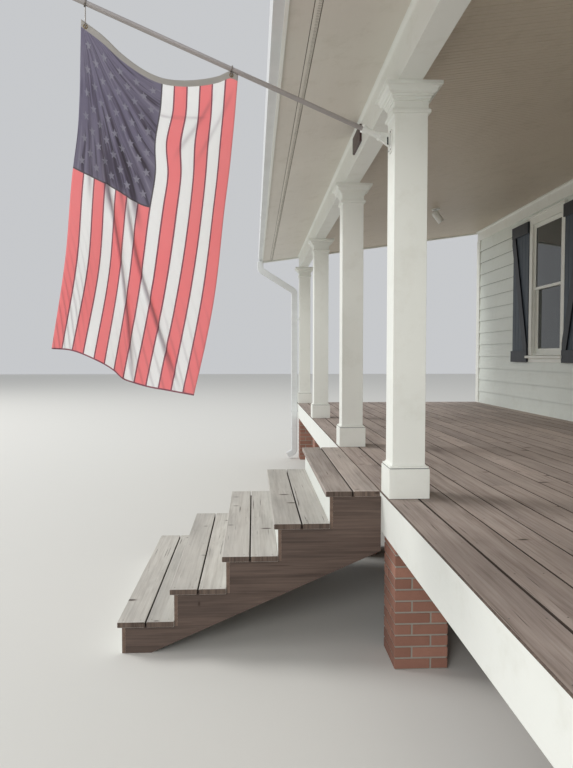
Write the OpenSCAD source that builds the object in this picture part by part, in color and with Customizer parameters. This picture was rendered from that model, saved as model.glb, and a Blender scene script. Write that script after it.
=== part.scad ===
// Front porch of a clapboard house: six boxed columns, wide steps, sloping ceiling.
// Millimetres. X runs along the porch, the street is towards -Y, Z is up.

/* [Plan] */
// Distance between the two columns beside the steps
step_bay = 2140; // [1800:10:2400]
// Distance between the other columns
bay = 2712; // [2200:4:3000]
// Column centre line to the house wall
porch_depth = 3029; // [2400:1:3600]
// Deck past the last column centre
end_reach = 140; // [130:5:240]

/* [Heights] */
// Height of the deck above the ground
deck_h = 950; // [760:5:1100]
// Height of a column from deck to beam
column_h = 2280; // [2200:1:2600]
// Height of the beam's outer face
beam_h = 217; // [140:1:260]
// Rise of the ceiling for one unit of depth
ceiling_slope = 0.14; // [0.08:0.01:0.25]

/* [Columns] */
// Width of the boxed shaft
shaft_w = 184; // [140:2:240]
// Width of the plinth
plinth_w = 228; // [200:2:300]
// Height of the plinth's block
plinth_h = 168; // [120:1:240]
// Width of the capital's top
capital_w = 318; // [300:2:420]

/* [Steps] */
// Number of treads below the landing
treads = 4; // [4:1:4]
// Run of one step
run = 306; // [280:1:340]
// Width of the steps
steps_w = 1900; // [1600:10:1900]
// Landing's depth in front of the deck
landing_d = 322; // [280:1:400]
// Overhang of a tread past its riser
nosing = 25; // [15:1:35]

/* [Wall] */
// Thickness of the house wall
wall_t = 150; // [120:5:200]
// Window opening width
window_w = 880; // [700:10:1000]
// Window opening height
window_h = 1800; // [1400:1:1900]
// Window sill above the ground
sill_z = 1760; // [1500:5:1900]
// Window centre from the porch's middle
window_x = 3880; // [3400:10:4400]
// Width of a shutter
shutter_w = 550; // [420:5:560]
// Door opening width
door_w = 990; // [900:5:1100]

/* [Flag] */
// Length of the flag pole
pole_len = 1800; // [1700:10:2000]
// Height of the bracket above the deck
bracket_h = 1998; // [1700:1:2030]

/* [Hidden] */
$fa = 6;
$fs = 1.5;

// Board sizes shared by several pieces
board_t = 33;
riser_t = 20;
skirt_t = 25;
skirt_h = 209;
skirt_back = 9;
joist_w = 38;
joist_h = 184;
trim_t = 28;
casing_w = 92;
frieze_h = 170;

rise = deck_h/(treads + 1);
col_x = [-step_bay/2 - 2*bay, -step_bay/2 - bay, -step_bay/2,
         step_bay/2, step_bay/2 + bay, step_bay/2 + 2*bay];
deck_half = col_x[5] + end_reach;
house_half = deck_half - 34;

// The pole leaves the column's street face, leaning up and a little to +X.
pole_turn = 18.3;
pole_tilt = 15.5;
pole_heading = pole_turn - 90;
pole_dir = [cos(pole_tilt)*cos(pole_heading), cos(pole_tilt)*sin(pole_heading), sin(pole_tilt)];
pole_r = 12.7;
cap_r = 19;

// The flag hangs in the upright plane of the pole: first value out from the column, second up
// from the bracket. Its top edge sags between a clip near the pole's tip and a loop further in.
function pole_v(h) = h*tan(pole_tilt);
flag_t = 3;
flag_tip = [1662, pole_v(1662) - 66];
flag_inner = [885, pole_v(885) - 40];
flag_sag = [1208, 142];
flag_low_out = [1812, -1170];
flag_low_mid = [1491, -1310];
flag_low_in = [1132, -1410];

// The origin is under the middle of the whole, from the flag's outer edge to the wall's back.
front_reach = shaft_w/2 - flag_low_out[0]*sin(pole_heading) + flag_t/2*cos(pole_heading);
back_reach = porch_depth + wall_t;
y_col = (front_reach - back_reach)/2;
y_face = y_col - shaft_w/2;
y_wall = y_col + porch_depth;
y_deck = y_col - 120;
y_skirt = y_deck + skirt_back;
y_landing = y_deck - landing_d;

// The beam stands a little nearer to the street than the columns' centres.
col_top = deck_h + column_h;
beam_w = 131;
beam_shift = 20;
y_beam_out = y_col - beam_shift - beam_w/2;
y_beam_in = y_beam_out + beam_w;
z_soffit = col_top + beam_h;

// Eave and roof
ceiling_t = 16;
rafter_d = 140;
sheathing_t = 20;
fascia_t = 20;
rake_t = 40;
eave_reach = 719;
vent_gap = 118;
vent_w = 43;
y_fascia = y_col - eave_reach;
roof_half = deck_half + 66;
lid_half = roof_half - rake_t;

function ceil_z(y) = z_soffit + ceiling_slope*(y - y_beam_out);
function above(y, h) = ceil_z(y) + h;

// Wall
wall_z0 = 720;
wall_top = ceil_z(y_wall) + 400;
jamb_t = 18;
jamb_d = 120;
window_top = sill_z + window_h;
door_top = window_top;
door_h = 2110;

// Helpers

module along_x(x0, x1, pts) {
    translate([x0, 0, 0]) rotate([90, 0, 90]) linear_extrude(x1 - x0) polygon(pts);
}

module box(x0, x1, y0, y1, z0, z1) {
    translate([x0, y0, z0]) cube([x1 - x0, y1 - y0, z1 - z0]);
}

module both_ends() {
    for (s = [0, 1]) mirror([s, 0, 0]) children();
}

// A slab that follows the ceiling's slope, from h0 to h1 above the ceiling plane.
module sloped(x0, x1, y0, y1, h0, h1) {
    along_x(x0, x1, [[y0, above(y0, h0)], [y1, above(y1, h0)],
                     [y1, above(y1, h1)], [y0, above(y0, h1)]]);
}

// An upright frame round an opening of w by h, whose lower edge is at z.
module ring(x, w, h, z, y0, y1, sides, top, bottom) {
    difference() {
        box(x - w/2 - sides, x + w/2 + sides, y0, y1, z - bottom, z + h + top);
        box(x - w/2, x + w/2, y0 - 1, y1 + 1, z, z + h);
    }
}

// Turns a shape that stands on its Z axis so that it points along d.
module aim(d) {
    rotate([0, acos(d[2]), atan2(d[1], d[0])]) children();
}

// A square post whose four faces share one moulded profile, mitred at the corners.
module square_post(x, y, z, half_profile) {
    n = len(half_profile);
    full = concat(half_profile, [for (i = [n-1:-1:0]) [-half_profile[i][0], half_profile[i][1]]]);
    w = 2*max([for (p = half_profile) p[0]]) + 20;
    translate([x, y, z]) intersection() {
        translate([0, w/2, 0]) rotate([90, 0, 0]) linear_extrude(w) polygon(full);
        translate([-w/2, 0, 0]) rotate([90, 0, 90]) linear_extrude(w) polygon(full);
    }
}

function arc(cx, cz, r, a0, a1, n) =
    [for (i = [0:n]) [cx + r*cos(a0 + (a1 - a0)*i/n), cz + r*sin(a0 + (a1 - a0)*i/n)]];

// The outline of a w by h rectangle round the origin, with corners of radius r.
function rounded(w, h, r) = concat(
    arc(w/2 - r, h/2 - r, r, 0, 90, 4), arc(r - w/2, h/2 - r, r, 90, 180, 4),
    arc(r - w/2, r - h/2, r, 180, 270, 4), arc(w/2 - r, r - h/2, r, 270, 360, 4));

// Columns

module column(i) {
    s = shaft_w/2;
    p = plinth_w/2;
    c = capital_w/2;
    top = column_h;
    groove = 3;
    cap_cove = 17;
    neck = top - 168;
    neck_cove = 13;
    bed = top - 90;
    crown_r = 17;
    crown = top - 22 - crown_r;
    // Plinth block, shadow groove and coved cap
    base = concat(
        [[p, 0], [p, plinth_h], [p - 9, plinth_h], [p - 9, plinth_h + groove],
         [p - 5, plinth_h + groove], [p - 5, plinth_h + 12]],
        arc(s + cap_cove, plinth_h + 12 + cap_cove, cap_cove, 270, 180, 5));
    // Neck moulding, plain frieze and three small fillets
    necking = concat(
        arc(s + neck_cove, neck, neck_cove, 180, 90, 4),
        [[s + 15, neck + 15], [s + 15, neck + 32], [s + 11, neck + 36], [s + 3, neck + 38],
         [s + 3, bed], [s + 9, bed], [s + 9, bed + 10], [s + 15, bed + 12],
         [s + 15, bed + 22], [s + 23, bed + 24], [s + 23, bed + 32]]);
    // Crown moulding under the square abacus
    crowning = concat(
        arc(c - 7 - 2*crown_r, crown, crown_r, 270, 360, 5),
        arc(c - 7, crown, crown_r, 180, 90, 5),
        [[c - 4, top - 22], [c, top - 19], [c, top]]);
    color("white") square_post(col_x[i], y_col, deck_h, concat(base, necking, crowning));
}

// Deck and foundations

module foundation_piers() {
    pier_w = 300;
    y0 = y_skirt + skirt_t;
    color("firebrick") for (x = col_x)
        box(x - pier_w/2, x + pier_w/2, y0, y0 + pier_w, 0, deck_h - board_t - skirt_h);
}

module deck_frame() {
    header_w = 2*joist_w;
    joists = 33;
    y0 = y_skirt + skirt_t;
    top = deck_h - board_t;
    half = deck_half - skirt_back - skirt_t;
    pitch = (2*half - joist_w)/(joists - 1);
    color("peru") {
        box(-half, half, y0, y0 + header_w, top - skirt_h, top);
        box(-half, half, y_wall - joist_w, y_wall, top - joist_h, top);
        for (i = [0:joists - 1]) {
            x = -half + pitch*i;
            box(x, x + joist_w, y0 + header_w, y_wall - joist_w, top - joist_h, top);
        }
    }
}

module porch_floor() {
    color("tan") box(-deck_half, deck_half, y_deck, y_wall, deck_h - board_t, deck_h);
}

module skirt_boards() {
    top = deck_h - board_t;
    half = deck_half - skirt_back;
    color("white") {
        box(-half, half, y_skirt, y_skirt + skirt_t, top - skirt_h, top);
        both_ends() box(half - skirt_t, half, y_skirt + skirt_t, y_wall, top - skirt_h, top);
    }
}

// Steps

function tread_y(k) = y_landing - run*k;
function tread_z(k) = deck_h - rise*k;
function riser_foot(k) = k == treads ? 0 : tread_z(k + 1) - board_t;

carriage_half = steps_w/2 - 15;

module landing() {
    color("tan") box(-steps_w/2, steps_w/2, y_landing, y_deck, deck_h - board_t, deck_h);
}

module tread(k) {
    color("tan") box(-steps_w/2, steps_w/2, tread_y(k), tread_y(k - 1) + nosing,
                     tread_z(k) - board_t, tread_z(k));
}

module stair_risers() {
    color("white") for (k = [0:treads]) {
        y = tread_y(k) + nosing;
        box(-carriage_half, carriage_half, y, y + riser_t, riser_foot(k), tread_z(k) - board_t);
    }
}

// Three saw-tooth carriages; each tooth carries a tread and backs a riser.
module stair_stringers() {
    waist = 330;
    foot_d = 150;
    teeth = [for (k = [treads:-1:0]) let (y = tread_y(k) + nosing + riser_t) each
        [[y, riser_foot(k)], [y, tread_z(k) - board_t]]];
    back = [[y_skirt, deck_h - board_t], [y_skirt, deck_h - board_t - waist], [teeth[0][0] + foot_d, 0]];
    color("saddlebrown") for (x = [-carriage_half, -joist_w/2, carriage_half - joist_w])
        along_x(x, x + joist_w, concat(teeth, back));
}

// Beam, ceiling and roof

// A boxed beam, with a small cove in the corner under the soffit.
module front_beam() {
    cove_r = 24;
    y_cove = y_beam_out - cove_r;
    color("white") along_x(-lid_half, lid_half, concat(
        [[y_beam_out, col_top], [y_beam_in, col_top],
         [y_beam_in, above(y_beam_in, ceiling_t)], [y_beam_out, above(y_beam_out, ceiling_t)],
         [y_beam_out, ceil_z(y_beam_out)]],
        arc(y_cove, ceil_z(y_cove) - cove_r, cove_r, 90, 0, 5)));
}

module porch_ceiling() {
    color("white") sloped(-lid_half, lid_half, y_beam_in, y_wall, 0, ceiling_t);
}

vent_y0 = y_fascia + fascia_t + vent_gap;
vent_y1 = vent_y0 + vent_w;

module eave_soffit() {
    color("white") {
        sloped(-lid_half, lid_half, y_fascia + fascia_t, vent_y0, 0, ceiling_t);
        sloped(-lid_half, lid_half, vent_y1, y_beam_out, 0, ceiling_t);
    }
}

module soffit_vent() {
    recess = 4;
    color("gainsboro") sloped(-lid_half, lid_half, vent_y0, vent_y1, recess, ceiling_t);
}

module fascia() {
    lip = 14;
    color("white") box(-lid_half, lid_half, y_fascia, y_fascia + fascia_t,
                       ceil_z(y_fascia) - lip, above(y_fascia, ceiling_t + rafter_d));
}

module rake_boards() {
    drop = 25;
    color("white") both_ends()
        sloped(lid_half, roof_half, y_fascia, y_wall, -drop, ceiling_t + rafter_d);
}

module roof_frame() {
    rafters = 23;
    pitch = (2*lid_half - joist_w)/(rafters - 1);
    color("peru") for (i = [0:rafters - 1]) {
        x = -lid_half + pitch*i;
        sloped(x, x + joist_w, y_fascia + fascia_t, y_wall, ceiling_t, ceiling_t + rafter_d);
    }
}

// Standing-seam metal: pans, raised seams and a flashing turned up against the wall.
module roof() {
    h0 = ceiling_t + rafter_d;
    h1 = h0 + sheathing_t;
    seam_h = 28;
    seam_w = 20;
    seam_pitch = 406;
    seams = 33;
    overhang = 12;
    y_edge = y_fascia - 30;
    flash_d = 20;
    flash_t = 6;
    flash_h = 150;
    y_flash = y_wall - flash_d;
    color("dimgray") {
        sloped(-roof_half - overhang, roof_half + overhang, y_edge, y_wall, h0, h1);
        for (i = [0:seams - 1]) {
            x = seam_pitch*(i - (seams - 1)/2);
            sloped(x - seam_w/2, x + seam_w/2, y_edge, y_flash, h1, h1 + seam_h);
        }
        along_x(-roof_half - overhang, roof_half + overhang, [
            [y_flash, above(y_flash, h1)], [y_wall, above(y_wall, h1)],
            [y_wall, above(y_wall, h0 + flash_h)], [y_wall - flash_t, above(y_wall - flash_t, h0 + flash_h)],
            [y_wall - flash_t, above(y_flash, h1 + seam_h + flash_t)],
            [y_flash, above(y_flash, h1 + seam_h)]]);
    }
}

// A narrow gutter: flat back and floor, a front that steps out in a slight ogee, a turned-in lip.
gutter_h = 118;
gutter_d = 62;
gutter_t = 2;
gutter_z = ceil_z(y_fascia) - 4;

module gutter() {
    t = gutter_t;
    g = gutter_h;
    d = gutter_d;
    lip = 10;
    lip_h = 6;
    outside = [[0, 0], [8 - d, 0], [6 - d, 8], [6 - d, 40], [4 - d, 52], [1 - d, 62], [-d, 72],
               [-d, g], [0, g]];
    inside = [[-t, t], [10 - d, t], [8 - d, 9], [8 - d, 40], [6 - d, 53], [3 - d, 63], [t - d, 73],
              [t - d, g - lip_h], [lip - d, g - lip_h], [lip - d, g + 1], [-t, g + 1]];
    color("white") translate([0, y_fascia, gutter_z]) difference() {
        along_x(-roof_half, roof_half, outside);
        along_x(t - roof_half, roof_half - t, inside);
    }
}

// Rectangular downpipe with rounded corners and curved elbows
spout_w = 102;
spout_d = 76;
elbow_r = 72;

// A straight length is a little slimmer than the elbows and slips into them at both ends.
module spout_straight(l) {
    slip = 5;
    slim = 2;
    translate([0, 0, -l - slip]) linear_extrude(l + 2*slip)
        polygon(rounded(spout_d - slim, spout_w - slim, 10));
}

// Bends a pipe that comes down along -Z towards +Y.
module spout_elbow(a) {
    translate([0, elbow_r, 0]) rotate([-90, 0, -90]) rotate_extrude(angle = a)
        translate([elbow_r, 0]) polygon(rounded(spout_w, spout_d, 10));
}

// Each step is a straight length and the bend after it; a negative bend turns to -Y.
module spout_run(steps, i = 0) {
    if (i < len(steps)) {
        bend = steps[i][1];
        flip = bend < 0 ? 1 : 0;
        spout_straight(steps[i][0]);
        translate([0, 0, -steps[i][0]]) mirror([0, flip, 0]) {
            if (bend != 0) spout_elbow(abs(bend));
            translate([0, elbow_r, 0]) rotate([abs(bend), 0, 0]) translate([0, -elbow_r, 0])
                mirror([0, flip, 0]) spout_run(steps, i + 1);
        }
    }
}

// A short narrow outlet drops from the gutter's floor into the pipe.
module downspout(s) {
    bend = 58;
    shoe_bend = 62;
    outlet_w = 40;
    outlet_l = 30;
    y_top = y_fascia - 28;
    z_top = gutter_z - outlet_l;
    y_low = y_deck - 4 - spout_w/2;
    z_low = deck_h + 1846;
    slant = (y_low - y_top - 2*elbow_r*(1 - cos(bend)))/sin(bend);
    drop = 2*elbow_r*sin(bend) + slant*cos(bend);
    color("white") mirror([s, 0, 0]) translate([col_x[5], y_top, z_top]) {
        linear_extrude(outlet_l) polygon(rounded(spout_d - 16, outlet_w, 8));
        spout_run([[z_top - z_low - drop, bend], [slant, -bend], [z_low - 165, -shoe_bend], [80, 0]]);
    }
}

// House wall

module wall_hole(x, w, z0, z1) {
    box(x - w/2, x + w/2, y_wall - 5, y_wall + wall_t + 5, z0, z1);
}

module house_wall() {
    color("whitesmoke") difference() {
        box(-house_half, house_half, y_wall, y_wall + wall_t, wall_z0, wall_top);
        for (x = [-window_x, window_x]) wall_hole(x, window_w, sill_z, window_top);
        wall_hole(0, door_w, deck_h, door_top);
    }
}

module foundation_wall() {
    color("gray") box(-house_half, house_half, y_wall, y_wall + wall_t, 0, wall_z0);
}

module corner_boards() {
    corner_w = 110;
    color("white") both_ends() {
        box(house_half - corner_w, house_half + trim_t, y_wall - trim_t, y_wall,
            deck_h, ceil_z(y_wall) - frieze_h);
        box(house_half, house_half + trim_t, y_wall, y_wall + wall_t, wall_z0, wall_top);
    }
}

// A flat frieze board with a bed moulding that closes the corner under the ceiling
module wall_frieze() {
    z = ceil_z(y_wall);
    mould_d = 62;
    mould_r = 22;
    y_cove = y_wall - trim_t - mould_r;
    z_cove = z - 22 - mould_r;
    color("white") along_x(-house_half, house_half, concat(
        [[y_wall, z - frieze_h], [y_wall, z], [y_wall - mould_d, ceil_z(y_wall - mould_d)],
         [y_wall - mould_d, z - 22]],
        arc(y_cove, z_cove, mould_r, 90, 0, 5),
        [[y_wall - trim_t, z - frieze_h]]));
}

// Windows

// The upper sash slides in front of the lower one, and their rails overlap in the middle.
sash_t = 34;
upper_y = y_wall + 4;
lower_y = upper_y + sash_t;
glass_t = 4;
glass_in = 8;
upper_stile = 32;
lower_stile = 50;
rail_w = 35;
low_rail_w = 70;
half_h = (window_h - 2*jamb_t)/2;
sash_w = window_w - 2*jamb_t;
upper_w = sash_w - 2*upper_stile;
upper_z = window_top - jamb_t - half_h + rail_w;
upper_h = half_h - 2*rail_w;
lower_w = sash_w - 2*lower_stile;
lower_z = sill_z + jamb_t + low_rail_w;
lower_h = half_h - low_rail_w;

// Casing with a head cap, sill and apron, jambs, and the two sashes
module window_unit(x) {
    cap_h = 30;
    sill_t = 45;
    apron_h = 55;
    half = window_w/2 + casing_w;
    color("white") {
        ring(x, window_w, window_h, sill_z, y_wall - trim_t, y_wall, casing_w, casing_w, 0);
        box(x - half - 14, x + half + 14, y_wall - 46, y_wall, window_top + casing_w,
            window_top + casing_w + cap_h);
        along_x(x - half - 20, x + half + 20, [
            [y_wall, sill_z - sill_t], [y_wall, sill_z], [y_wall - 62, sill_z - 8],
            [y_wall - 70, sill_z - 14], [y_wall - 70, sill_z - sill_t + 6], [y_wall - 64, sill_z - sill_t]]);
        box(x - half, x + half, y_wall - trim_t, y_wall, sill_z - sill_t - apron_h, sill_z - sill_t);
        ring(x, sash_w, window_h - 2*jamb_t, sill_z + jamb_t, y_wall, y_wall + jamb_d,
             jamb_t, jamb_t, jamb_t);
        ring(x, upper_w, upper_h, upper_z, upper_y, lower_y, upper_stile, rail_w, rail_w);
        ring(x, lower_w, lower_h, lower_z, lower_y, lower_y + sash_t, lower_stile, rail_w, low_rail_w);
    }
}

module pane(x, w, y, z, h) {
    box(x - w/2, x + w/2, y + glass_in, y + glass_in + glass_t, z, z + h);
}

module window_glass() {
    color("lightblue") for (x = [-window_x, window_x]) {
        pane(x, upper_w, upper_y, upper_z, upper_h);
        pane(x, lower_w, lower_y, lower_z, lower_h);
    }
}

// Board shutters

shutter_z = sill_z - 100;
shutter_h = 1968;

// A panel with top and bottom battens and one diagonal brace; s = 1 mirrors the brace.
module shutter(x, s) {
    w = shutter_w;
    panel_t = 22;
    off_wall = 12;
    batten_t = 22;
    batten_h = 160;
    batten_over = 12;
    brace_t = 20;
    y = y_wall - off_wall - panel_t;
    z_low = shutter_z + batten_h;
    z_high = shutter_z + shutter_h - batten_h;
    translate([x, 0, 0]) mirror([s, 0, 0]) translate([-w/2, 0, 0]) {
        box(0, w, y, y_wall, shutter_z, shutter_z + shutter_h);
        box(-batten_over, w + batten_over, y - batten_t, y, z_high, shutter_z + shutter_h);
        box(-batten_over, w + batten_over, y - batten_t, y, shutter_z, z_low);
        translate([0, y, 0]) rotate([90, 0, 0]) linear_extrude(brace_t)
            polygon([[0, z_high], [0, z_high - 90], [w - 110, z_low], [w, z_low],
                     [w, z_low + 90], [110, z_high]]);
    }
}

module shutters(x) {
    off = window_w/2 + casing_w + shutter_w/2 + 14;
    color("darkslategray") {
        shutter(x - off, 0);
        shutter(x + off, 1);
    }
}

// Front door with a glazed transom

door_jamb = 38;
transom_jamb = 78;
transom_z = deck_h + door_h + 90;

module door_frame() {
    threshold = 30;
    half = door_w/2 + casing_w;
    color("white") {
        difference() {
            box(-half, half, y_wall - trim_t, y_wall, deck_h, door_top + casing_w);
            box(-door_w/2, door_w/2, y_wall - trim_t - 1, y_wall + 1, deck_h - 1, door_top);
        }
        box(-half - 14, half + 14, y_wall - 46, y_wall, door_top + casing_w, door_top + casing_w + 30);
        difference() {
            box(-door_w/2, door_w/2, y_wall, y_wall + jamb_d, deck_h, door_top);
            box(door_jamb - door_w/2, door_w/2 - door_jamb, y_wall - 1, y_wall + jamb_d + 1,
                deck_h + threshold, deck_h + door_h);
            box(transom_jamb - door_w/2, door_w/2 - transom_jamb, y_wall - 1, y_wall + jamb_d + 1,
                transom_z, door_top - transom_jamb);
        }
    }
}

leaf_t = 45;
leaf_y = y_wall + 60;

// Six sunk panels with raised fields, and a turned knob on its rose
module front_door() {
    w = door_w - 2*door_jamb - 6;
    z = deck_h + 33;
    h = door_h - 36;
    panel_w = w/2 - 150;
    panel_x = w/4 + 18;
    sunk = 12;
    field = 35;
    rows = [[180, 700], [900, 1330], [1480, 1930]];
    color("darkslategray") difference() {
        box(-w/2, w/2, leaf_y, leaf_y + leaf_t, z, z + h);
        for (c = [-1, 1], r = rows) difference() {
            box(c*panel_x - panel_w/2, c*panel_x + panel_w/2, leaf_y - 1, leaf_y + sunk, z + r[0], z + r[1]);
            box(c*panel_x - panel_w/2 + field, c*panel_x + panel_w/2 - field, leaf_y + 4, leaf_y + sunk + 1,
                z + r[0] + field, z + r[1] - field);
        }
    }
    color("gray") translate([w/2 - 62, leaf_y, z + 960]) rotate([90, 0, 0]) rotate_extrude() polygon(concat(
        [[0, 0], [33, 0], [33, 5], [28, 9], [12, 11], [12, 30]],
        arc(6, 48, 24, 310, 405, 6), [[0, 68]]));
}

module door_glass() {
    color("lightblue") box(transom_jamb - door_w/2, door_w/2 - transom_jamb, leaf_y, leaf_y + 6,
                           transom_z, door_top - transom_jamb);
}

// Fittings

// A ceiling spotlight: round base, stem, ball joint and a can that opens downwards.
module spotlight() {
    x = -3870;
    y = y_col + 1519;
    z = ceil_z(y);
    stem = 75;
    can_r = 44;
    can_l = 168;
    can_back = 45;
    color("white") {
        translate([x, y, z]) rotate([atan(ceiling_slope), 0, 0]) mirror([0, 0, 1]) cylinder(h = 20, r = 52);
        translate([x, y, z - stem]) cylinder(h = stem - 8, r = 9);
        translate([x, y, z - stem]) sphere(r = 17);
        translate([x, y, z - stem]) aim([0, 0.6, -0.8]) translate([0, 0, -can_back]) rotate_extrude()
            polygon([[0, 0], [22, 0], [36, 7], [can_r - 2, 18], [can_r, 30], [can_r, can_l],
                     [can_r - 3, can_l], [can_r - 3, can_l - 45], [0, can_l - 45]]);
    }
}

module beam_plaque() {
    color("maroon") box(-340, 0, y_beam_out - 16, y_beam_out, col_top + 60, col_top + 184);
}

pole_root = [col_x[3], y_face, deck_h + bracket_h];
sleeve_len = 190;
hub_out = 70;

// Base plate, slotted web, bolted hub and the sleeve that holds the pole
module flag_bracket() {
    plate_t = 8;
    web_t = 16;
    hub_v = pole_v(hub_out);
    color("white") {
        translate(pole_root) rotate([90, 0, 0]) linear_extrude(plate_t) polygon(rounded(64, 126, 14));
        difference() {
            translate(pole_root) union() {
                rotate([0, 0, pole_heading]) rotate([90, 0, 0]) {
                    translate([0, 0, -web_t/2]) linear_extrude(web_t) difference() {
                        polygon([[-10, -46], [hub_out, hub_v - 20], [hub_out, hub_v + 20], [-10, 46]]);
                        translate([20, -22]) square([11, 45]);
                    }
                    translate([hub_out, hub_v, -web_t/2 - 5]) cylinder(h = web_t + 10, r = 21);
                    translate([hub_out, hub_v, web_t/2 + 5]) cylinder(h = 8, r = 10, $fn = 6);
                    translate([hub_out, hub_v, -web_t/2 - 13]) cylinder(h = 8, r = 10, $fn = 6);
                }
                aim(pole_dir) {
                    translate([0, 0, hub_out]) cylinder(h = sleeve_len - hub_out, r = 17);
                    translate([0, 0, sleeve_len - 24]) cylinder(h = 24, r = 22);
                }
            }
            translate([-60, -plate_t + 1, -90] + pole_root) cube([120, 120, 180]);
            translate(pole_root + pole_dir*hub_out) aim(pole_dir) cylinder(h = sleeve_len, r = pole_r);
        }
    }
}

module flag_pole() {
    color("lightgray") {
        translate(pole_root + pole_dir*hub_out) aim(pole_dir) cylinder(h = pole_len - hub_out, r = pole_r);
        translate(pole_root + pole_dir*pole_len) sphere(r = cap_r);
    }
}

module flag() {
    mid = 2*flag_sag - 0.5*(flag_tip + flag_inner);
    top = [for (i = [0:10]) let (t = i/10)
        (1 - t)*(1 - t)*flag_tip + 2*t*(1 - t)*mid + t*t*flag_inner];
    color("mistyrose") translate(pole_root) rotate([0, 0, pole_heading]) rotate([90, 0, 0])
        translate([0, 0, -flag_t/2]) linear_extrude(flag_t)
        polygon(concat(top, [flag_low_in, flag_low_mid, flag_low_out]));
}

foundation_piers();
deck_frame();
porch_floor();
skirt_boards();
landing();
tread(1);  // tread_1
tread(2);  // tread_2
tread(3);  // tread_3
tread(4);  // tread_4
stair_risers();
stair_stringers();
column(0);  // column_1
column(1);  // column_2
column(2);  // column_3
column(3);  // column_4
column(4);  // column_5
column(5);  // column_6
front_beam();
porch_ceiling();
eave_soffit();
soffit_vent();
fascia();
rake_boards();
roof_frame();
roof();
gutter();
downspout(1);  // downspout_left
downspout(0);  // downspout_right
house_wall();
foundation_wall();
corner_boards();
wall_frieze();
window_unit(-window_x);  // window_left
window_unit(window_x);  // window_right
window_glass();
shutters(-window_x);  // shutters_left
shutters(window_x);  // shutters_right
front_door();
door_frame();
door_glass();
spotlight();
beam_plaque();
flag_bracket();
flag_pole();
flag();
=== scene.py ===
"""Front porch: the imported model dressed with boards, bricks, paint, cloth and light. Metres."""
import functools
import math
import random

import bmesh
import bpy
from mathutils import Matrix, Vector, noise


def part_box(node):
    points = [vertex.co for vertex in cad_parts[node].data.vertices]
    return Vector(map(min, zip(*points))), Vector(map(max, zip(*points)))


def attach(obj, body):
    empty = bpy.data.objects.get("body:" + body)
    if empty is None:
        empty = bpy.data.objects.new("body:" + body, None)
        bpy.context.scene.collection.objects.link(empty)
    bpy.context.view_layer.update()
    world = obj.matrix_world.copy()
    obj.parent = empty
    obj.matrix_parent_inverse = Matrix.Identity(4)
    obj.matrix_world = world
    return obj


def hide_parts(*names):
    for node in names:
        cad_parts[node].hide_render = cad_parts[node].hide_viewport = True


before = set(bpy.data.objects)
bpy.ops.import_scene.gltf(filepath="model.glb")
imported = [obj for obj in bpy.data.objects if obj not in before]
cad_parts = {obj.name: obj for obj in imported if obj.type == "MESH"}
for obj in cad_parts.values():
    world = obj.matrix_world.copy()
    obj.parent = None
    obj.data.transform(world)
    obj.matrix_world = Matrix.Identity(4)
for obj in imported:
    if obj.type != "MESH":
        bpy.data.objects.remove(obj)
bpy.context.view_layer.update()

# The photograph's camera stands in the yard just outside the gutter and looks along the porch.
CAMERA_AT = (4.8365, -1.549, 1.747)
CAMERA_YAW = 2.83
CAMERA_PITCH = 2.40
LENS_MM = 31.31
SENSOR_MM = 36.0
PHOTO_W = 573
PHOTO_H = 768

# Places that several pieces share, read from the imported model
DECK_LOW, DECK_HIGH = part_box("porch_floor")
CEILING_LOW, CEILING_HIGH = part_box("porch_ceiling")
WALL_LOW, WALL_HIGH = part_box("house_wall")
Y_WALL = WALL_LOW.y

# Sizes that several pieces share, as in the part
CEILING_SLOPE = 0.14
SHAFT_HALF = 0.092
DECK_GAP = 0.005
STEP_GAP = 0.009
WINDOW_X = 3.88
WINDOW_W = 0.88
CASING_W = 0.092
SHUTTER_W = 0.55
CORNER_W = 0.11

UNTURNED = Matrix.Identity(4)
# Turns what is made along Z so that it points to the street
TO_STREET = Matrix.Rotation(math.pi / 2, 4, "X")


def ceiling_z(y):
    return CEILING_LOW.z + CEILING_SLOPE * (y - CEILING_LOW.y)


def plan_middle(node):
    """The middle of a node's box as x and y."""
    low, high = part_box(node)
    return (low.x + high.x) / 2, (low.y + high.y) / 2


def axes(a, b, c):
    """The turn that lays X, Y and Z along three unit vectors."""
    return Matrix((a, b, c)).transposed().to_4x4()


# Mesh building

MIDDLE_TONE = 0.5


def octagon(a0, a1, b0, b1, e):
    """The outline of a rectangle with its four corners cut by e."""
    return [(a0 + e, b0), (a1 - e, b0), (a1, b0 + e), (a1, b1 - e),
            (a1 - e, b1), (a0 + e, b1), (a0, b1 - e), (a0, b0 + e)]


def round_angles(count):
    return [2 * math.pi * i / count for i in range(count)]


def skin(rows, n, wrap=False):
    """Faces between rows of n points that go round. wrap joins the last row to the first."""
    return [[r * n + i, r * n + (i + 1) % n, (r + 1) % rows * n + (i + 1) % n, (r + 1) % rows * n + i]
            for r in range(rows if wrap else rows - 1) for i in range(n)]


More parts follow.
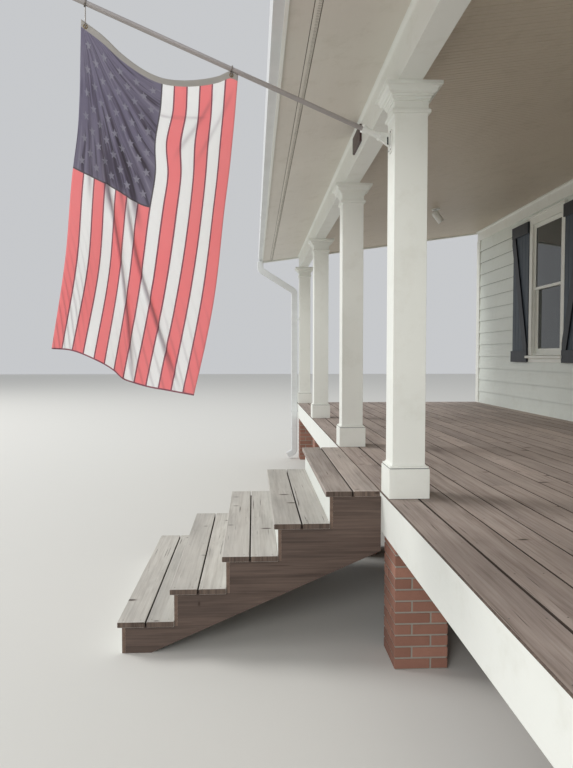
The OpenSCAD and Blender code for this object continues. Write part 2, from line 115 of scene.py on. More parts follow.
class Pile:
    """Closed shapes gathered in one mesh, each with a tone: drawn by the seed, or else the middle one."""

    def __init__(self, seed=None):
        self.rng = random.Random(seed) if seed else None
        self.points = []
        self.faces = []
        self.tones = []
        self.slots = []

    def add(self, points, faces, slot=0, tone=None, at=None, turn=UNTURNED):
        start = len(self.points)
        if tone is None:
            tone = self.rng.random() if self.rng else MIDDLE_TONE
        if at is not None:
            place = Matrix.Translation(at) @ turn
            points = [place @ Vector(p) for p in points]
        self.points += [tuple(p) for p in points]
        self.faces += [[start + i for i in face] for face in faces]
        self.tones += [tone] * len(points)
        self.slots += slot if isinstance(slot, list) else [slot] * len(faces)

    def loft(self, rings, slot=0, sides=None, **how):
        """Skins a row of rings and closes both ends. sides gives each side of the ring its own slot."""
        n = len(rings[0])
        points = [p for ring in rings for p in ring]
        ends = [list(range(n))[::-1], list(range(len(points) - n, len(points)))]
        if sides:
            slot = list(sides) * (len(rings) - 1) + [slot, slot]
        self.add(points, skin(len(rings), n) + ends, slot=slot, **how)

    def hoop(self, at, turn, radius, wire, stretch=1.0, turns=24):
        """A round wire ring in the XY plane, drawn out along Y by stretch."""
        wire_sides = 8
        points = []
        for a in round_angles(turns):
            for b in round_angles(wire_sides):
                r = radius + wire * math.cos(b)
                points.append((r * math.cos(a), r * math.sin(a) + (stretch - 1) * radius * math.sin(a),
                               wire * math.sin(b)))
        self.add(points, skin(turns, wire_sides, wrap=True), at=at, turn=turn)

    def block(self, corner, opposite, e=0.002, **how):
        """A box between two opposite corners, with all its edges eased by e."""
        (x0, x1), (y0, y1), (z0, z1) = map(sorted, zip(corner, opposite))
        full = octagon(y0, y1, z0, z1, e)
        small = octagon(y0 + e, y1 - e, z0 + e, z1 - e, e / 2)
        rings = [(x0, small), (x0 + e, full), (x1 - e, full), (x1, small)]
        self.loft([[(x, y, z) for y, z in outline] for x, outline in rings], **how)

    def plank(self, low, high, e=0.003, bow=0.0006, **how):
        """A long board along X that is a little bowed, as timber is."""
        (x0, y0, z0), (x1, y1, z1) = low, high
        full = octagon(y0, y1, z0, z1, e)
        small = octagon(y0 + e / 2, y1 - e / 2, z0 + e / 2, z1 - e / 2, e)
        steps = max(2, round((x1 - x0) / 0.25))
        seed = self.rng.random() * 90
        rings = [[(x0, y, z) for y, z in small]]
        for i in range(steps + 1):
            x = x0 + e / 2 + (x1 - x0 - e) * i / steps
            dy = bow * noise.noise((x * 0.9, seed, 0)) if 0 < i < steps else 0
            dz = bow * noise.noise((x * 0.7, 0, seed)) if 0 < i < steps else 0
            rings.append([(x, y + dy, z + dz) for y, z in full])
        rings.append([(x1, y, z) for y, z in small])
        self.loft(rings, **how)

    def prism(self, outline, x0, x1, **how):
        """An outline of (y, z) points drawn out along X."""
        self.loft([[(x, y, z) for y, z in outline] for x in (x0, x1)], **how)

    def turned(self, profile, sides, at, **how):
        """A closed profile of (radius, height) points turned round Z, in the middle tone."""
        rings = [[(r * math.cos(a), r * math.sin(a), h) for a in round_angles(sides)] for r, h in profile]
        self.loft(rings, at=at, tone=MIDDLE_TONE, **how)


def add_object(name, data):
    made = bpy.data.objects.new(name, data)
    bpy.context.collection.objects.link(made)
    return made


def new_mesh(name, points, faces, materials, slots, **values):
    """A mesh with a material slot for each face, and with named values for each point."""
    mesh = bpy.data.meshes.new(name)
    mesh.from_pydata(points, [], faces)
    for key, row in values.items():
        mesh.attributes.new(key, "FLOAT", "POINT").data.foreach_set("value", row)
    for material in materials:
        mesh.materials.append(material)
    mesh.polygons.foreach_set("material_index", slots)
    return mesh


def add_piece(name, mesh, replaces=()):
    piece = add_object(name, mesh)
    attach(piece, "root")
    if replaces:
        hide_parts(*replaces)
    return piece


def make_piece(name, pile, materials, replaces=(), smooth=False):
    """Makes a pile into a piece, with all its faces turned outwards."""
    mesh = new_mesh(name, pile.points, pile.faces, materials, pile.slots, tone=pile.tones)
    bm = bmesh.new()
    bm.from_mesh(mesh)
    bmesh.ops.recalc_face_normals(bm, faces=bm.faces)
    bm.to_mesh(mesh)
    bm.free()
    if smooth:
        mesh.shade_smooth()
    return add_piece(name, mesh, replaces)


# Materials

def linear(colour):
    """A display colour, with parts from 0 to 255, as the linear colour that shaders take."""
    parts = [c / 255 for c in colour]
    return [c / 12.92 if c <= 0.04045 else ((c + 0.055) / 1.055) ** 2.4 for c in parts] + [1.0]


class Graph:
    """A material's node tree, built from short calls that take display colours."""

    def __init__(self, name, roughness=0.5, metallic=0.0):
        self.material = bpy.data.materials.new(name)
        self.material.use_nodes = True
        self.tree = self.material.node_tree
        self.shader = self.tree.nodes["Principled BSDF"]
        self.roughness(roughness)
        self.shader.inputs["Metallic"].default_value = metallic
        self.place = self.node("TexCoord").outputs["Object"]

    def node(self, kind, inputs=None, **settings):
        made = self.tree.nodes.new("ShaderNode" + kind)
        for key, value in settings.items():
            setattr(made, key, value)
        for key, value in (inputs or {}).items():
            self.set(made.inputs[key], value)
        return made

    def set(self, socket, value):
        if isinstance(value, bpy.types.NodeSocket):
            self.tree.links.new(value, socket)
        else:
            socket.default_value = linear(value) if socket.type == "RGBA" else value

    def math(self, operation, a, b=0.0):
        return self.node("Math", {0: a, 1: b}, operation=operation).outputs[0]

    def product(self, a, b):
        return self.math("MULTIPLY", a, b)

    def mix(self, amount, a, b, blend="MIX"):
        made = self.node("Mix", data_type="RGBA", blend_type=blend)
        self.set(made.inputs[0], amount)
        self.set(made.inputs[6], a)
        self.set(made.inputs[7], b)
        return made.outputs[2]

    def times(self, colour, by):
        return self.mix(1.0, colour, by, "MULTIPLY")

    def stain(self, colour, amount, by):
        """Multiplies a colour by another where the amount is 1."""
        return self.mix(amount, colour, self.times(colour, by))

    def level(self, colour, amount):
        """Makes a colour lighter or darker by an amount round 1."""
        grey = self.node("CombineColor", {0: amount, 1: amount, 2: amount}).outputs[0]
        return self.times(colour, grey)

    def ramp(self, value, *stops):
        """Maps a value through (place, colour) stops."""
        made = self.node("ValToRGB", {0: value})
        line = made.color_ramp.elements
        for i, (at, colour) in enumerate(stops):
            element = line[i] if i < len(line) else line.new(at)
            element.position = at
            element.color = linear(colour)
        return made.outputs[0]

    def range(self, value, a, b, c=0.0, d=1.0):
        return self.node("MapRange", {0: value, 1: a, 2: b, 3: c, 4: d}).outputs[0]

    def split(self, vector):
        return self.node("SeparateXYZ", {0: vector}).outputs

    def join(self, x, y):
        return self.node("CombineXYZ", {0: x, 1: y}).outputs[0]

    def attribute(self, name):
        return self.node("Attribute", attribute_name=name).outputs["Fac"]

    def stretched(self, scale, shift=None):
        """Object coordinates scaled by axis. A shift gives each board its own grain."""
        place = self.place
        if shift is not None:
            apart = {0: (37.0, 23.0, 11.0), "Scale": shift}
            far = self.node("VectorMath", apart, operation="SCALE")
            place = self.node("VectorMath", {0: place, 1: far.outputs[0]}).outputs[0]
        return self.node("VectorMath", {0: place, 1: scale}, operation="MULTIPLY").outputs[0]

    def noise(self, place, scale=1.0, detail=4.0, rough=0.55, distortion=0.0):
        made = self.node("TexNoise", {"Vector": place, "Scale": scale, "Detail": detail,
                                      "Roughness": rough, "Distortion": distortion})
        return made.outputs[0]

    def bump(self, height, distance, strength):
        made = self.node("Bump", {"Height": height, "Distance": distance, "Strength": strength})
        self.set(self.shader.inputs["Normal"], made.outputs[0])

    def colour(self, value):
        self.set(self.shader.inputs["Base Color"], value)

    def roughness(self, value):
        self.set(self.shader.inputs["Roughness"], value)


def along(axis, run, across):
    """Scales for a grain that runs along one axis."""
    return tuple(run if axis == i else across for i in range(3))


def bare_wood(name, pale, middle, dark, axis=0, roughness=0.75, stain=0.5, dirt=0.55):
    """Weathered timber: fine streaks, faint growth rings, grey patches, knots and splits."""
    g = Graph(name, roughness)
    tone = g.attribute("tone")

    def grain(run, across, **how):
        """Noise drawn out along the board, other on each board."""
        return g.noise(g.stretched(along(axis, run, across), tone), **how)

    streaks = grain(1.8, 85, detail=8, rough=0.6)
    rings = grain(0.5, 7, detail=2, distortion=0.7)
    waves = g.math("FRACT", g.product(rings, 8.0))
    waves = g.math("ABSOLUTE", g.math("SUBTRACT", waves, 0.5))
    body = g.math("ADD", g.product(streaks, 0.85), g.product(waves, 0.2))
    wood = g.ramp(body, (0.24, dark), (0.46, middle), (0.7, pale))
    # Each board is a little lighter or darker than the next
    wood = g.level(wood, g.range(tone, 0, 1, 0.86, 1.1))
    # Grey patches, then broad weather streaks
    patches = grain(0.9, 3.2, detail=5, rough=0.6)
    wood = g.stain(wood, g.range(patches, 0.42, 0.72, 0, stain), (196, 196, 198))
    weather = grain(0.8, 17, detail=6, rough=0.7)
    wood = g.stain(wood, g.range(weather, 0.5, 0.68, 0, dirt), (176, 168, 164))
    # Knots: dark eyes of several sizes, wider across the board than along it
    spread = g.split(g.stretched(along(axis, 3.4, 1.5), tone))
    flat = g.join(spread[axis], g.math("ADD", *[spread[i] for i in range(3) if i != axis]))
    knots = g.node("TexVoronoi", {"Vector": flat, "Scale": 1.0}, voronoi_dimensions="2D").outputs
    near = g.product(knots["Distance"], g.range(knots["Color"], 0.2, 0.8, 0.6, 1.7))
    wood = g.mix(g.range(near, 0.035, 0.08, 0.5, 0), wood, dark)
    wood = g.mix(g.range(near, 0.02, 0.04, 0.9, 0), wood, (58, 42, 34))
    # Splits: short dark lines along the grain
    split = g.range(grain(2.4, 110, detail=2, rough=0.4), 0.69, 0.75)
    wood = g.mix(g.product(split, 0.8), wood, (60, 46, 38))
    g.colour(wood)
    g.roughness(g.range(streaks, 0.2, 0.8, roughness - 0.1, roughness + 0.12))
    height = g.math("SUBTRACT", g.product(body, 0.5), split)
    g.bump(g.math("SUBTRACT", height, g.range(near, 0.02, 0.04, 0.4, 0)), 0.0016, 0.6)
    return g.material


def painted_wood(name, colour, axis=0, roughness=0.42, grime=0.35, ends=None):
    """Brushed, slightly dusty house paint. ends is the colour of bare sawn ends, which face along X."""
    g = Graph(name, roughness)
    brush = g.noise(g.stretched(along(axis, 3.0, 160)), detail=5)
    wood = g.noise(g.stretched(along(axis, 1.4, 34)), detail=6, rough=0.6)
    cloud = g.noise(g.place, 1.7, detail=5)
    base = g.level(colour, g.range(cloud, 0.3, 0.7, 0.975, 1.015))
    dust = g.noise(g.place, 5.0, detail=8, rough=0.7)
    base = g.stain(base, g.product(g.range(dust, 0.52, 0.78), grime), (205, 200, 184))
    if ends:
        facing = g.split(g.node("TexCoord").outputs["Normal"])[0]
        sawn = g.mix(g.range(wood, 0.3, 0.7), g.times(ends, (190, 184, 178)), ends)
        base = g.mix(g.range(g.math("ABSOLUTE", facing), 0.8, 0.9), base, sawn)
    g.colour(base)
    g.roughness(g.range(brush, 0.3, 0.7, roughness - 0.06, roughness + 0.1))
    g.bump(g.math("ADD", g.product(wood, 0.7), g.product(brush, 0.3)), 0.0004, 0.6)
    return g.material


def metal(name, colour, roughness=0.4, metallic=0.0, dents=0.0006, fine=6):
    """Painted or bare sheet metal with soft dents and water marks. fine is the marks' detail."""
    g = Graph(name, roughness, metallic)
    marks = g.noise(g.stretched((2.0, 2.0, 9.0)), detail=fine, rough=0.65)
    g.colour(g.level(colour, g.range(marks, 0.3, 0.75, 1.03, 0.88)))
    g.roughness(g.range(marks, 0.3, 0.7, roughness - 0.06, roughness + 0.1))
    g.bump(g.noise(g.place, 3.0, detail=3), dents, 0.5)
    return g.material


def masonry(name, light, dark, pores=90.0):
    """Bricks, blocks and mortar: cloudy and gritty, each one in its own tone."""
    g = Graph(name, 0.9)
    clouds = g.noise(g.place, 7.0, detail=6, rough=0.7)
    grit = g.noise(g.place, pores, rough=0.7)
    amount = g.math("ADD", g.product(clouds, 0.5), g.product(g.attribute("tone"), 0.5))
    g.colour(g.mix(g.range(grit, 0.55, 0.75, 0, 0.4), g.mix(amount, dark, light), dark))
    g.bump(g.math("ADD", grit, clouds), 0.002, 0.6)
    return g.material


def glass(name):
    """Window glass that reads dark from outside, as over an unlit room."""
    g = Graph(name, 0.04)
    ripple = g.noise(g.place, 2.2, detail=2)
    g.colour(g.ramp(ripple, (0.3, (26, 32, 34)), (0.7, (44, 52, 54))))
    g.shader.inputs["Specular IOR Level"].default_value = 0.8
    g.bump(ripple, 0.0006, 0.3)
    return g.material


def cloth(name, colour, through, crease_shading=False):
    """Woven nylon that light comes through, with painted shade darkening it in its folds. creased adds
    painted shade lines and pale painted highlight lines to its creases.
    """
    g = Graph(name, 0.8)
    g.shader.inputs["Sheen Weight"].default_value = 0.2
    patches = g.noise(g.place, 3.0, detail=5)
    tint = g.mix(g.range(patches, 0.3, 0.7, 0, 0.08), colour, (240, 236, 230))
    # Painted shade: darker where the creases, pleats and wrinkles fold the cloth.
    tint = g.stain(tint, g.product(g.attribute("doubled"), 0.8), (128, 106, 124))
    flow = g.node("UVMap", uv_map="weave").outputs[0]
    if crease_shading:
        across, down, _ = g.split(flow)
        angle = g.math("ARCTAN2", across, down)
        reach = g.node("VectorMath", {0: flow}, operation="LENGTH").outputs["Value"]
        fan = g.join(g.product(angle, 23.0), g.product(reach, 2.6))
        crease_light = g.noise(fan, detail=2, distortion=0.2)
        # Painted shade and painted highlight: dark crease lines and pale lines fanning from the tip corner.
        tint = g.stain(tint, g.range(crease_light, 0.54, 0.62, 0, 0.8), (146, 136, 148))
        tint = g.mix(g.range(crease_light, 0.4, 0.3, 0, 0.3), tint, (190, 186, 200))
    g.colour(tint)
    threads = [g.node("TexWave", {"Vector": flow, "Scale": 260.0}, bands_direction=way).outputs["Fac"]
               for way in ("X", "Y")]
    g.bump(g.product(*threads), 0.0003, 0.5)
    glow = g.node("BsdfTranslucent", {"Color": g.mix(0.4, tint, (255, 252, 248))}).outputs[0]
    both = g.node("MixShader", {0: through, 1: g.shader.outputs[0], 2: glow}).outputs[0]
    g.tree.links.new(both, g.tree.nodes["Material Output"].inputs["Surface"])
    return g.material


WHITE = painted_wood("white_paint", (236, 238, 231), axis=2, grime=0.22)
WHITE_LONG = painted_wood("white_paint_long", (236, 238, 232), grime=0.22)
RISER = painted_wood("riser_paint", (232, 236, 230), ends=(122, 101, 88))
# Painted shade: the ceiling's paint is darker and warmer than white, for the shade under the porch roof.
CEILING = painted_wood("ceiling_paint", (200, 188, 170), axis=1)
SOFFIT = painted_wood("soffit_paint", (222, 217, 207))
SIDING = painted_wood("siding_paint", (226, 232, 225), grime=0.2)
# Painted shade: a dark colour for the undersides of the siding laps.
LAP_SHADE = painted_wood("lap_underside_shade", (112, 116, 108), roughness=0.8)
SHUTTER = painted_wood("shutter_paint", (30, 35, 43), axis=2, roughness=0.45, grime=0.6)
SHUTTER_PANEL = painted_wood("shutter_panel", (62, 73, 84), axis=2, roughness=0.5, grime=0.6)
DECK = bare_wood("deck_wood", (194, 181, 173), (177, 162, 153), (148, 132, 122))
STEP = bare_wood("step_wood", (206, 203, 196), (196, 192, 184), (178, 173, 165),
                 stain=0.6, dirt=0.3)
LANDING = bare_wood("landing_wood", (196, 186, 178), (180, 168, 159), (158, 145, 135),
                    stain=0.6)
# Painted shade: dark wood for the board sides in the gaps, and for the lit top edge of the inner deck
# boards.
JOINT_SHADE = bare_wood("joint_shade_wood", (92, 78, 69), (72, 60, 52), (50, 41, 36), roughness=0.9)
END_GRAIN = bare_wood("end_grain", (122, 106, 95), (98, 84, 75), (68, 57, 50), axis=2,
                      roughness=0.9)
RAW = bare_wood("raw_wood", (198, 164, 120), (172, 134, 92), (120, 86, 56))
STRINGER = bare_wood("stringer_wood", (116, 98, 88), (96, 80, 71), (72, 58, 51), axis=1)
BRICK = masonry("brick", (172, 126, 108), (126, 88, 74))
MORTAR = masonry("mortar", (172, 166, 155), (136, 130, 121))
CONCRETE = masonry("concrete", (186, 182, 174), (140, 137, 130), pores=60)
ROOF_METAL = metal("roof_metal", (92, 96, 98), 0.42, dents=0.002)
GUTTER_METAL = metal("gutter_metal", (222, 225, 225), 0.3)
# Darker metal for the eave vent: partly the vent's own colour, partly painted shade in its openings.
VENT_SHADE_METAL = metal("vent_metal", (120, 112, 102), 0.6)
VENT_STRIP = metal("vent_strip", (226, 222, 212), 0.5)
FIXTURE = metal("fixture_metal", (230, 231, 226), 0.38)
PLAQUE = metal("plaque_metal", (58, 26, 30), 0.35)
POLE = metal("pole_metal", (170, 164, 162), 0.4, 0.5, dents=0, fine=1)
STEEL = metal("steel", (128, 122, 116), 0.45, 0.7)
BRASS = metal("brass", (132, 114, 86), 0.45, 0.6)
GLASS = glass("glass")
# Painted light and shade: the red and blue are paler than the dyes, as in strong light through the cloth,
# and the stars and seams greyer and darker, as where cloth is doubled.
FLAG_RED = cloth("flag_red", (254, 146, 151), 0.5)
FLAG_WHITE = cloth("flag_white", (253, 254, 255), 0.5)
FLAG_BLUE = cloth("flag_blue", (120, 114, 140), 0.35, crease_shading=True)
FLAG_STAR = cloth("flag_star", (154, 151, 167), 0.3)
FLAG_CANVAS = cloth("flag_canvas", (172, 168, 162), 0.3)
FLAG_SEAM = cloth("flag_seam", (150, 78, 96), 0.2)
CANTON_SEAM = cloth("canton_seam", (88, 82, 92), 0.2)


def dress(material, *nodes, edge=0.0):
    """Gives CAD nodes a material and, where asked, eased edges."""
    for name in nodes:
        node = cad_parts[name]
        for slot in node.material_slots:
            slot.material = material
        if edge:
            weld = node.modifiers.new("weld", "WELD")
            weld.merge_threshold = 0.00002
            bevel = node.modifiers.new("bevel", "BEVEL")
            bevel.width = edge
            bevel.segments = 2
            bevel.limit_method = "ANGLE"
            bevel.angle_limit = math.radians(35)


# Deck and steps

NAIL_PROFILE = [(0.0012, -0.001), (0.0034, -0.001), (0.0034, 0.0004), (0.0022, 0.0008), (0.0008, 0.0008)]
SCREW_PROFILE = [(0.002, -0.002), (0.006, -0.002), (0.006, 0.001), (0.004, 0.0022), (0.001, 0.0022)]


def plank_sides(street, house, arris=0):
    """Slots for a plank's eight sides: its street side with the arris over it, and its house side."""
    return [0, house, house, 0, 0, arris, street, street]


def board_row(pile, low, high, joints, bearers, sides, e=0.003):
    """One row of planks between two corners, cut at the joints, with two nails on every bearer.

    Slot 0 is the board's wood, 1 the nails, 2 the board sides in the joints, darkened as painted shade, and
    3 the end grain.
    """
    (x0, y0, z0), (x1, y1, z1) = low, high
    cut = 0.0015
    nail_in = 0.03
    ends = [x0] + joints + [x1]
    for a, b in zip(ends, ends[1:]):
        left = a + (cut if a > x0 else 0)
        right = b - (cut if b < x1 else 0)
        pile.plank((left, y0, z0), (right, y1, z1), e=e, slot=3, sides=sides)
    for bearer in bearers:
        for line in (y0 + nail_in, y1 - nail_in):
            x = bearer + pile.rng.uniform(-0.006, 0.006)
            y = line + pile.rng.uniform(-0.005, 0.005)
            pile.turned(NAIL_PROFILE, 7, (x, y, z1), slot=1)


def deck_boards():
    """Boards along the porch. The outermost one has its edge painted like the skirt below it."""
    rows = 18
    joists = 33
    longest = 4.88
    shortest = 0.6
    first_joints = (2.0, 2.6, 0.9)
    joist_half = WALL_HIGH.x - 0.019
    bearers = [-joist_half + 2 * joist_half * i / (joists - 1) for i in range(joists)]
    pitch = (DECK_HIGH.y - DECK_LOW.y) / rows
    pile = Pile(7)
    for row in range(rows):
        y0 = DECK_LOW.y + pitch * row + (DECK_GAP / 2 if row else 0)
        y1 = DECK_LOW.y + pitch * (row + 1) - (DECK_GAP / 2 if row < rows - 1 else 0)
        start = DECK_LOW.x + first_joints[row % 3] + pile.rng.uniform(-0.2, 0.2)
        joints = []
        while start < DECK_HIGH.x - shortest:
            joints.append(min(bearers, key=lambda x: abs(x - start)))
            start += longest
        # Inner rows take the dark joint wood on both sides and on the street-side top edge: painted shade in
        # the gaps and on that lit edge.
        sides = plank_sides(2, 2, arris=2) if row else plank_sides(4, 2, arris=3)
        board_row(pile, (DECK_LOW.x, y0, DECK_LOW.z), (DECK_HIGH.x, y1, DECK_HIGH.z), joints, bearers,
                  sides, e=0.002 if row else 0.006)
    make_piece("deck_boards", pile, [DECK, STEEL, JOINT_SHADE, END_GRAIN, WHITE_LONG], ["porch_floor"])


def step_boards(node, seed, wood):
    """A tread or the landing: two boards with a gap between them, nailed to three stringers."""
    low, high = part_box(node)
    stringer_in = 0.034
    stringers = [low.x + stringer_in, 0.0, high.x - stringer_in]
    middle = (low.y + high.y) / 2
    half = STEP_GAP / 2
    pile = Pile(seed)
    board_row(pile, low, (high.x, middle - half, high.z), [], stringers, plank_sides(0, 2))
    board_row(pile, (low.x, middle + half, low.z), high, [], stringers, plank_sides(2, 0))
    make_piece(node + "_boards", pile, [wood, STEEL, JOINT_SHADE, END_GRAIN], [node])


# Wall

def siding_spans(z0, z1):
    """The stretches of wall at a height that nothing covers."""
    edge = WALL_HIGH.x - CORNER_W
    sill_end = 0.02
    behind_shutter = 0.012
    behind_casing = 0.014
    windows = (-WINDOW_X, WINDOW_X)
    holes = [(edge, edge)]
    for node, centres, inset in (("window_left", windows, sill_end),
                                 ("shutters_left", windows, behind_shutter),
                                 ("door_frame", (0,), behind_casing)):
        low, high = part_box(node)
        if low.z < (z0 + z1) / 2 < high.z:
            half = (high.x - low.x) / 2 - inset
            holes += [(centre - half, centre + half) for centre in centres]
    spans = []
    x = -edge
    for a, b in sorted(holes):
        if a > x:
            spans.append((x, a))
        x = max(x, b)
    return spans


def siding_boards():
    """Lapped boards between the deck and the frieze, and one above the roof."""
    exposure = 0.198
    butt = 0.02
    thin = 0.006
    base = DECK_HIGH.z
    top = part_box("wall_frieze")[0].z
    pile = Pile()

    def face(lap_low, z):
        """Where the face of a lap stands at a height."""
        return Y_WALL - butt + (butt - thin) * (z - lap_low) / exposure

    breaks = {base, top}
    for node in ("shutters_left", "window_left", "door_frame"):
        breaks |= {p.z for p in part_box(node)}
    for lap in range(math.ceil((top - base) / exposure)):
        z0 = base + exposure * lap
        z1 = min(z0 + exposure, top)
        cuts = sorted({z0, z1} | {b for b in breaks if z0 < b < z1})
        for a, b in zip(cuts, cuts[1:]):
            outline = [(Y_WALL, a), (face(z0, a), a), (face(z0, b), b), (Y_WALL, b)]
            for x0, x1 in siding_spans(a, b):
                # At its lowest cut, a lap's underside takes the dark lap colour: painted shade under the
                # butt.
                pile.prism(outline, x0, x1, sides=[1 if a == z0 else 0, 0, 0, 0])
    roof_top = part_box("roof")[1].z
    pile.prism([(Y_WALL, roof_top), (Y_WALL - butt, roof_top), (Y_WALL - thin, WALL_HIGH.z),
                (Y_WALL, WALL_HIGH.z)], -WALL_HIGH.x, WALL_HIGH.x)
    make_piece("siding_boards", pile, [SIDING, LAP_SHADE])


def shutter_boards(side, centre):
    """Two shutters: five upright boards each, with two battens and a brace, nailed through."""
    low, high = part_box("shutters_" + side)
    batten_h = 0.16
    over = 0.012
    boards = 5
    groove = 0.0008
    board_w = SHUTTER_W / boards
    nail_in = 0.035
    brace_t = 0.02
    brace_w = 0.11
    brace_h = 0.09
    off = WINDOW_W / 2 + CASING_W + SHUTTER_W / 2 + 0.014
    y_face = low.y + 0.022
    z_low = low.z + batten_h
    z_high = high.z - batten_h
    brace = [(0, z_high), (0, z_high - brace_h), (SHUTTER_W - brace_w, z_low),
             (SHUTTER_W, z_low), (SHUTTER_W, z_low + brace_h), (brace_w, z_high)]
    pile = Pile(11)
    for sign in (-1, 1):
        x0 = centre + sign * off - SHUTTER_W / 2
        for i in range(boards):
            pile.block((x0 + board_w * i + groove, y_face, low.z),
                       (x0 + board_w * (i + 1) - groove, Y_WALL, high.z), e=0.004, slot=1)
        for z0 in (low.z, z_high):
            pile.block((x0 - over, low.y, z0), (x0 + SHUTTER_W + over, y_face, z0 + batten_h), e=0.003)
            for i in range(boards):
                for dz in (nail_in, batten_h - nail_in):
                    spot = (x0 + board_w * (i + 0.5), low.y, z0 + dz)
                    pile.turned(NAIL_PROFILE, 7, spot, turn=TO_STREET)
        start = x0 if sign < 0 else x0 + SHUTTER_W
        pile.loft([[(start - sign * u, y, v) for u, v in brace] for y in (y_face, y_face - brace_t)])
    make_piece("shutter_boards_" + side, pile, [SHUTTER, SHUTTER_PANEL],
               ["shutters_" + side])


# Ceiling, eave and downspouts

def ceiling_boards():
    """Narrow boards from the beam to the wall, with a groove at each joint and one in the middle."""
    board_w = 0.0833
    groove = 0.003
    thick = 0.016
    low, high = CEILING_LOW, CEILING_HIGH
    count = round((high.x - low.x) / board_w)
    width = (high.x - low.x) / count
    pile = Pile(5)
    for i in range(count):
        x = low.x + width * i
        mid = x + width / 2
        across = [(x, groove), (x + 0.003, 0), (mid - 0.004, 0), (mid - 0.002, groove),
                  (mid + 0.002, groove), (mid + 0.004, 0), (x + width - 0.003, 0), (x + width, groove),
                  (x + width, thick), (x, thick)]
        pile.loft([[(u, y, ceiling_z(y) + h) for u, h in across] for y in (low.y, high.y)])
    make_piece("ceiling_boards", pile, [CEILING], ["porch_ceiling"])


def soffit_strip():
    """A pale perforated strip down the middle of the eave vent, with painted shade in its openings: darker
    vent metal in the gaps beside it and in small insets for its slots.
    """
    low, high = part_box("soffit_vent")
    side = 0.005
    rise = 0.004
    bend = 0.003
    drop = 0.002
    slots = 900
    slot_half = 0.0012
    slot_l = 0.01
    slot_t = 0.001
    y0 = low.y + side
    y1 = high.y - side
    pile = Pile()
    outline = [(y0, ceiling_z(y0) + rise), (y0, ceiling_z(y0)), (y0 + bend, ceiling_z(y0 + bend) - drop),
               (y1 - bend, ceiling_z(y1 - bend) - drop), (y1, ceiling_z(y1)), (y1, ceiling_z(y1) + rise)]
    pile.prism(outline, low.x, high.x)
    for i in range(slots):
        x = low.x + (high.x - low.x) * (i + 0.5) / slots
        for y in (y0 + 0.012, (y0 + y1) / 2 + 0.003):
            z = ceiling_z(y + slot_l / 2) - 0.0024
            # Small dark insets for the slots: painted shade in the perforations.
            pile.block((x - slot_half, y, z), (x + slot_half, y + slot_l, z + slot_t), e=0.0002, slot=1)
    make_piece("soffit_strip", pile, [VENT_STRIP, VENT_SHADE_METAL])


STRAP_H = 0.028


def downspout_strap(pile, x, z0, front, back):
    """A U-shaped strap round a downspout, with two ears screwed to what stands behind it."""
    half = 0.038
    thick = 0.0016
    ear = 0.03
    z1 = z0 + STRAP_H
    pile.block((x - half - thick, front - thick, z0), (x + half + thick, front, z1), e=0.0004)
    for sign in (-1, 1):
        side = x + sign * half
        pile.block((side, front - thick, z0), (x + sign * (half + thick), back, z1), e=0.0004)
        pile.block((side, back - thick, z0), (x + sign * (half + ear), back, z1), e=0.0004)
        spot = (x + sign * (half + ear / 2), back - thick, (z0 + z1) / 2)
        pile.turned(SCREW_PROFILE, 10, spot, turn=TO_STREET, slot=1)


def downspout_fittings():
    """Each downspout's straps on the skirt board and on the column, and a dark disc of painted shade in its
    mouth.
    """
    spout_w = 0.102
    front = DECK_LOW.y - 0.004 - spout_w
    column_strap_z = 2.36
    skirt_low, skirt_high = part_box("skirt_boards")
    skirt_strap_z = (skirt_low.z + skirt_high.z - STRAP_H) / 2
    shaft_face = plan_middle("column_6")[1] - SHAFT_HALF
    # The shoe at the foot turns out by this angle, and ends in the mouth
    shoe_turn = math.radians(62)
    elbow_r = 0.072
    shoe_len = 0.085
    shoe_z = 0.165
    aim = Vector((0, -math.sin(shoe_turn), -math.cos(shoe_turn)))
    across = Vector((1, 0, 0))
    mouth_turn = axes(across, aim.cross(across), aim)
    mouth_y = front + spout_w / 2 - elbow_r * (1 - math.cos(shoe_turn))
    mouth_z = shoe_z - elbow_r * math.sin(shoe_turn)
    opening = octagon(-0.033, 0.033, -0.046, 0.046, 0.006)
    pile = Pile(29)
    for side in ("left", "right"):
        x = plan_middle("downspout_" + side)[0]
        mouth = Vector((x, mouth_y, mouth_z)) + aim * shoe_len
        # A dark disc just inside the mouth: painted shade inside the pipe.
        pile.loft([[(u, v, h) for u, v in opening] for h in (-0.001, 0.0005)], slot=2, tone=MIDDLE_TONE,
                  at=mouth, turn=mouth_turn)
        downspout_strap(pile, x, skirt_strap_z, front, skirt_low.y)
        downspout_strap(pile, x, column_strap_z, front, shaft_face)
    make_piece("downspout_fittings", pile, [GUTTER_METAL, STEEL, SHUTTER])


def plinth_shade_lines():
    """Painted shade: a dark strip in the joint under each plinth's cap, and a dark line at its foot."""
    half = 0.114
    block_h = 0.168
    joint = 0.003
    lap_low = 0.0003
    lap_high = 0.0005
    set_back = 0.0055
    foot_h = 0.0018
    proud = 0.0003
    thick = 0.003
    pile = Pile()
    for number in range(1, 7):
        x, y = plan_middle(f"column_{number}")
        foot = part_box(f"column_{number}")[0].z
        top = foot + block_h
        for reach, z0, z1 in ((half - set_back, top - lap_low, top + joint + lap_high),
                              (half + proud, foot, foot + foot_h)):
            inner = reach - thick
            for sign in (-1, 1):
                pile.block((x - reach, y + sign * reach, z0), (x + reach, y + sign * inner, z1), e=0.0002)
                pile.block((x + sign * reach, y + thick - reach, z0),
                           (x + sign * inner, y + reach - thick, z1), e=0.0002)
    # Dark shutter paint stands in for the shade in these joints.
    make_piece("plinth_shade_lines", pile, [SHUTTER])


# Foundations

